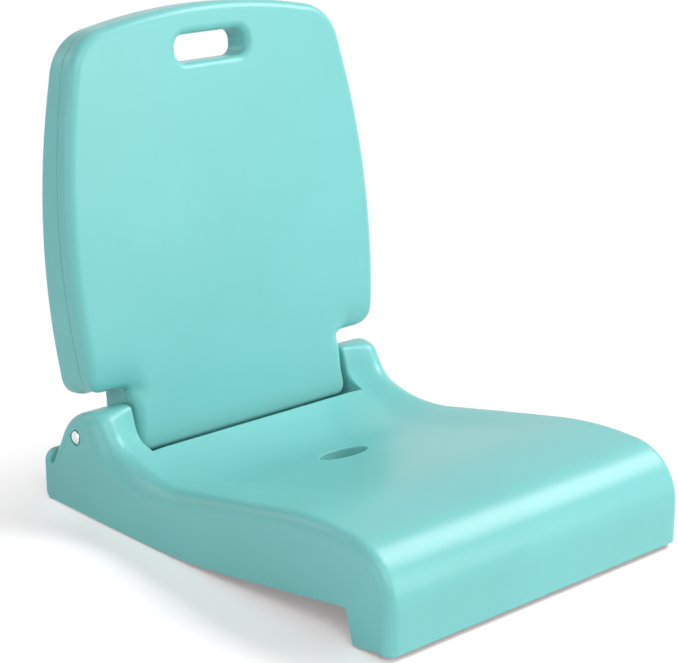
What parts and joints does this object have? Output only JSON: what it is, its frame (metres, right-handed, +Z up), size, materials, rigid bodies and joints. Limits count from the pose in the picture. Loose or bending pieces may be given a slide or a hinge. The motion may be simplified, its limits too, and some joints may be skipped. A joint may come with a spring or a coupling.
{
  "type": "folding floor seat with backrest",
  "caption": "Legless bath or shower seat: moulded dished seat with a deep front lip and a pinned, forward-folding backrest with a hand slot.",
  "frame": {"origin": "centre of the footprint on the floor", "axes": "+X to the right seen from the front, -Y towards the front lip, +Z up"},
  "size_m": [0.3676, 0.4816, 0.4621],
  "materials": {
    "moulded_plastic": "satin",
    "steel_rod": "ground",
    "chrome_cap": "polished",
    "bearing_plastic": "matte",
    "rubber_grey": "matte",
    "steel_screw": "zinc plated"
  },
  "bodies": {
    "seat": {"seat_shell": "moulded_plastic", "hinge_rod": "steel_rod", "rod_cap_left": "chrome_cap", "rod_cap_right": "chrome_cap", "lug_bushing_left": "bearing_plastic", "lug_bushing_right": "bearing_plastic", "thrust_washer_left": "bearing_plastic", "thrust_washer_right": "bearing_plastic", "stop_buffers": "rubber_grey", "base_feet": "rubber_grey", "lip_pads": "rubber_grey"},
    "backrest": {"backrest_front_shell": "moulded_plastic", "backrest_rear_shell": "moulded_plastic", "neck_bushing_left": "bearing_plastic", "neck_bushing_right": "bearing_plastic", "shell_screws": "steel_screw"}
  },
  "joints": [
    {"name": "backrest_fold", "type": "hinge", "parent": "seat", "child": "backrest", "pos_m": [0, 0.18875, 0.0755], "axis": [1, 0, 0], "range_deg": [0, 47]}
  ]
}
